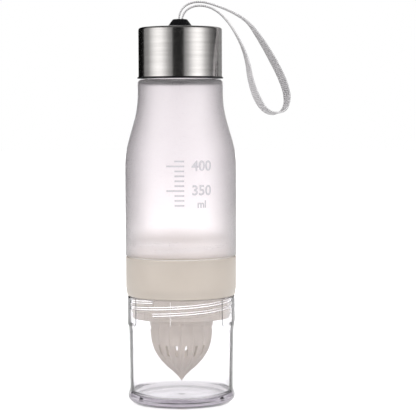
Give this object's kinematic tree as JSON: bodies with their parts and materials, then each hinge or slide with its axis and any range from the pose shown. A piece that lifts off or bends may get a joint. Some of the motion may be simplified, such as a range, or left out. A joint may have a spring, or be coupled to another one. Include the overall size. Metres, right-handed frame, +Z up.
{
  "type": "fruit infuser water bottle",
  "caption": "Tall frosted water bottle on a clear screw-on cup, with a citrus squeezer cone between them and a steel screw cap with a looped strap.",
  "frame": {"origin": "centre of the foot ring, on the surface that the bottle stands on", "axes": "+Z up along the bottle's axis, front towards -Y, the strap falls towards +X"},
  "size_m": [0.1052, 0.0698, 0.2524],
  "materials": {
    "clear_plastic": "clear polished plastic",
    "squeezer_plastic": "milky warm white, slightly see-through",
    "frosted_plastic": "frosted, milky, slightly see-through",
    "silicone": "soft translucent silicone",
    "black_plastic": "black moulded plastic",
    "steel": "satin steel with fine turning lines",
    "webbing": "grey woven tape"
  },
  "bodies": {
    "cup": {"clear_cup": "clear_plastic"},
    "cup_seal_ring": {"cup_seal": "silicone"},
    "squeezer": {"squeezer": "squeezer_plastic"},
    "body_seal_ring": {"body_seal": "silicone"},
    "bottle": {"bottle_body": "frosted_plastic"},
    "gasket": {"cap_gasket": "silicone"},
    "cap": {"cap_liner": "black_plastic", "cap_shell": "steel", "cap_hub": "black_plastic"},
    "strap": {"strap": "webbing", "strap_knot": "webbing"}
  },
  "joints": [
    {"name": "cup_lift", "type": "slide", "parent": "cup", "child": "cup_seal_ring", "axis": [0, 0, 1], "range_m": [0, 0.0601]},
    {"name": "cup_screw", "type": "hinge", "parent": "cup_seal_ring", "child": "squeezer", "pos_m": [0, 0, 0.06], "axis": [0, 0, 1], "range_deg": [0, 1800]},
    {"name": "body_screw", "type": "hinge", "parent": "squeezer", "child": "body_seal_ring", "pos_m": [0, 0, 0.1], "axis": [0, 0, 1], "range_deg": [0, 540]},
    {"name": "body_lift", "type": "slide", "parent": "body_seal_ring", "child": "bottle", "axis": [0, 0, 1], "range_m": [0, 0.0181]},
    {"name": "cap_lift", "type": "slide", "parent": "bottle", "child": "gasket", "axis": [0, 0, 1], "range_m": [0, 0.0281]},
    {"name": "cap_screw", "type": "hinge", "parent": "gasket", "child": "cap", "pos_m": [0, 0, 0.22], "axis": [0, 0, 1], "range_deg": [0, 1260]},
    {"name": "strap_swivel", "type": "hinge", "parent": "cap", "child": "strap", "pos_m": [0, 0, 0.238], "axis": [0, 0, 1], "continuous": true}
  ],
  "couplings": [
    {"joint": "cup_lift", "follows": "cup_screw", "m_per_rad": 0.0019099},
    {"joint": "body_lift", "follows": "body_screw", "m_per_rad": 0.0019099},
    {"joint": "cap_lift", "follows": "cap_screw", "m_per_rad": 0.0012732}
  ]
}
